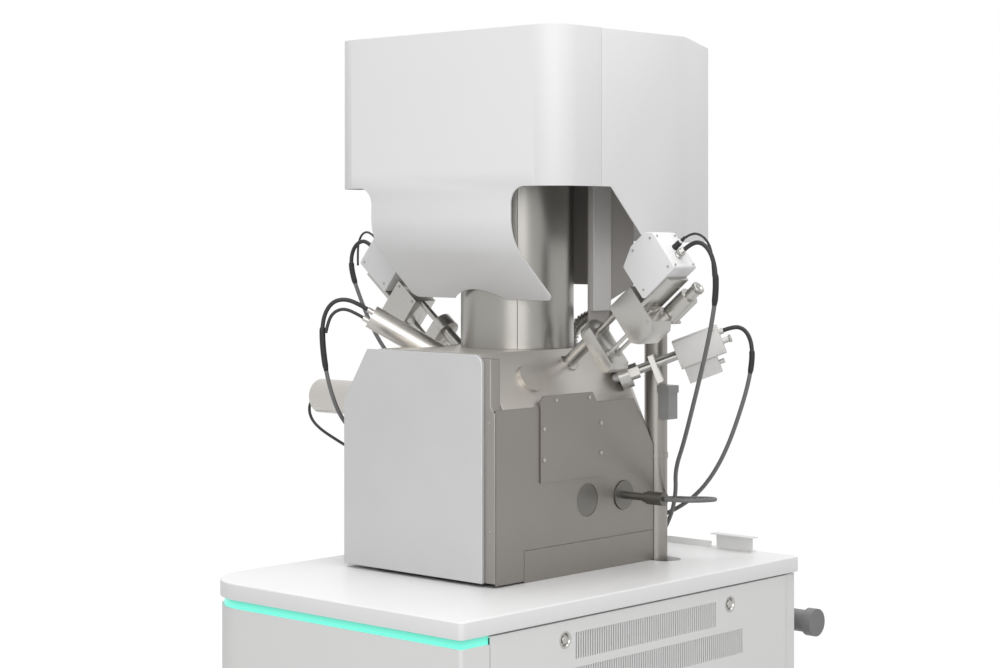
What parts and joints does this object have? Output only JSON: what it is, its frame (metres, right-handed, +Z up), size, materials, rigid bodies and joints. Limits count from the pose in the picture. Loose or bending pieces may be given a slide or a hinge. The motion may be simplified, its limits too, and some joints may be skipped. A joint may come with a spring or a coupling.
{
  "type": "scanning electron microscope",
  "caption": "Floor-standing scanning electron microscope: column and head over a specimen chamber with sliding door, tilting stage and angled detectors, on a vented cabinet.",
  "frame": {"origin": "on the floor under the middle of the machine's box, free cables left out", "axes": "+Z up, -Y towards the chamber door, +X to the right seen from the door"},
  "size_m": [1.0289, 1.144, 1.807],
  "materials": {
    "white_paint": "satin",
    "cabinet_paint": "satin",
    "light_strip": "glowing",
    "frame_paint": "matte",
    "dark_metal": "satin",
    "bumper_grey": "matte",
    "black_rubber": "matte",
    "chamber_metal": "satin",
    "cover_metal": "satin",
    "column_metal": "satin",
    "mast_metal": "satin",
    "door_metal": "satin",
    "fascia_silver": "satin",
    "bright_metal": "satin",
    "housing_white": "satin",
    "housing_grey": "satin",
    "grey_plastic": "satin",
    "cable_black": "satin",
    "cable_grey": "satin"
  },
  "bodies": {
    "base": {"levelling_feet": "dark_metal", "base_frame": "frame_paint", "tabletop": "white_paint", "front_panel": "cabinet_paint", "side_panels": "cabinet_paint", "rear_panel": "cabinet_paint", "status_light": "light_strip", "panel_fasteners": "bright_metal", "rear_bumper": "bumper_grey", "rear_trim": "bright_metal", "float_plate": "dark_metal", "air_springs": "black_rubber", "backing_pump": "frame_paint", "chamber_body": "chamber_metal", "side_cover_right": "cover_metal", "side_cover_left": "cover_metal", "access_plate": "cover_metal", "cover_screws": "bright_metal", "port_fittings": "bright_metal", "objective_lens": "bright_metal", "electron_column": "bright_metal", "column_cover_front": "column_metal", "column_cover_rear": "column_metal", "mast": "mast_metal", "cable_duct": "chamber_metal", "head_front_cover": "white_paint", "head_rear_cover": "white_paint", "vacuum_pipe": "bright_metal", "vacuum_hose": "black_rubber", "valve_box": "grey_plastic", "turbo_pump": "chamber_metal", "side_camera": "column_metal", "angled_detector": "bright_metal", "detector_holders": "bright_metal", "slant_holder": "bright_metal", "lead_right_a": "cable_black", "cable_right_a": "cable_grey", "cable_right_b": "cable_grey", "port_cable": "cable_grey", "lead_left_a": "cable_black", "cable_left_a": "cable_grey", "lead_left_b": "cable_black", "cable_left_b": "cable_grey", "camera_cable": "cable_black"},
    "door": {"door_plate": "door_metal", "door_fascia": "fascia_silver", "door_seal": "black_rubber", "door_rods": "bright_metal", "stage_bracket": "bright_metal"},
    "stage_tilt_arm": {"stage_cradle": "bright_metal"},
    "stage_height_plate": {"stage_lift": "bright_metal"},
    "stage_long_carriage": {"stage_long_slide": "dark_metal"},
    "stage_cross_carriage": {"stage_cross_slide": "bright_metal"},
    "stage_turntable": {"rotary_table": "bright_metal"},
    "detector_right": {"carriage_right": "bright_metal", "housing_right": "housing_white"},
    "detector_left": {"carriage_left": "bright_metal", "housing_left": "housing_white"},
    "detector_rear": {"slant_detector": "housing_grey"}
  },
  "joints": [
    {"name": "door_slide", "type": "slide", "parent": "base", "child": "door", "axis": [0, -1, 0], "range_m": [0, 0.29]},
    {"name": "stage_tilt", "type": "hinge", "parent": "door", "child": "stage_tilt_arm", "pos_m": [0, -0.04, 0.99], "axis": [0, 1, 0], "range_deg": [-20, 60]},
    {"name": "stage_height", "type": "slide", "parent": "stage_tilt_arm", "child": "stage_height_plate", "axis": [0, 0, 1], "range_m": [0, 0.06]},
    {"name": "stage_long", "type": "slide", "parent": "stage_height_plate", "child": "stage_long_carriage", "axis": [0, 1, 0], "range_m": [-0.035, 0.035]},
    {"name": "stage_cross", "type": "slide", "parent": "stage_long_carriage", "child": "stage_cross_carriage", "axis": [1, 0, 0], "range_m": [-0.03, 0.03]},
    {"name": "stage_turn", "type": "hinge", "parent": "stage_cross_carriage", "child": "stage_turntable", "pos_m": [0, 0.024, 0.925], "axis": [0, 0, 1], "continuous": true},
    {"name": "detector_right_slide", "type": "slide", "parent": "base", "child": "detector_right", "axis": [-0.7771, 0, -0.6293], "range_m": [0, 0.06], "deforming": ["lead_right_a", "cable_right_a"]},
    {"name": "detector_left_slide", "type": "slide", "parent": "base", "child": "detector_left", "axis": [0.7771, 0, -0.6293], "range_m": [0, 0.06], "deforming": ["lead_left_a", "cable_left_a"]},
    {"name": "detector_rear_slide", "type": "slide", "parent": "base", "child": "detector_rear", "axis": [0.7534, 0.5514, 0.3584], "range_m": [0, 0.05], "deforming": ["cable_right_b"]}
  ]
}
